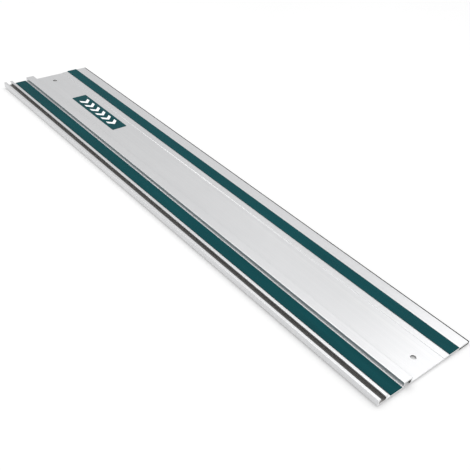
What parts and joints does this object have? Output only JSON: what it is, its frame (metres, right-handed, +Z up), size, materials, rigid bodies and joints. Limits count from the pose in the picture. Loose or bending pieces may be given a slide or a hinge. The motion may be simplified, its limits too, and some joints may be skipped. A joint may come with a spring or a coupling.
{
  "type": "track saw guide rail",
  "caption": "Long aluminium guide rail for a track saw, with a hollow guide rib, an upper T-slot, glide strips, grip strips underneath and a rubber splinter guard along the cutting edge.",
  "frame": {"origin": "middle of the footprint, on the plane that the grip strips rest on", "axes": "+X along the rail, +Y across it from the T-slot edge to the cutting edge, +Z up"},
  "size_m": [1, 0.1836, 0.0124],
  "materials": {
    "anodised_aluminium": "satin anodised, fine lines along the extrusion",
    "glide_plastic": "smooth low-friction plastic strip, dark teal",
    "adhesive_film": "double-sided adhesive film, translucent off-white",
    "guard_rubber": "matt black rubber lip",
    "grip_foam": "closed-cell foam rubber, fine pores",
    "badge_print": "printed label, dark teal ground with plain white chevrons"
  },
  "bodies": {
    "root": {"rail_extrusion": "anodised_aluminium", "glide_strip_outer": "glide_plastic", "glide_strip_outer_adhesive": "adhesive_film", "glide_strip_inner": "glide_plastic", "glide_strip_inner_adhesive": "adhesive_film", "splinter_guard": "guard_rubber", "splinter_guard_tape": "adhesive_film", "grip_strip_outer": "grip_foam", "grip_strip_outer_tape": "adhesive_film", "grip_strip_inner": "grip_foam", "grip_strip_inner_tape": "adhesive_film", "badge_label": "badge_print", "badge_adhesive": "adhesive_film"}
  },
  "joints": []
}
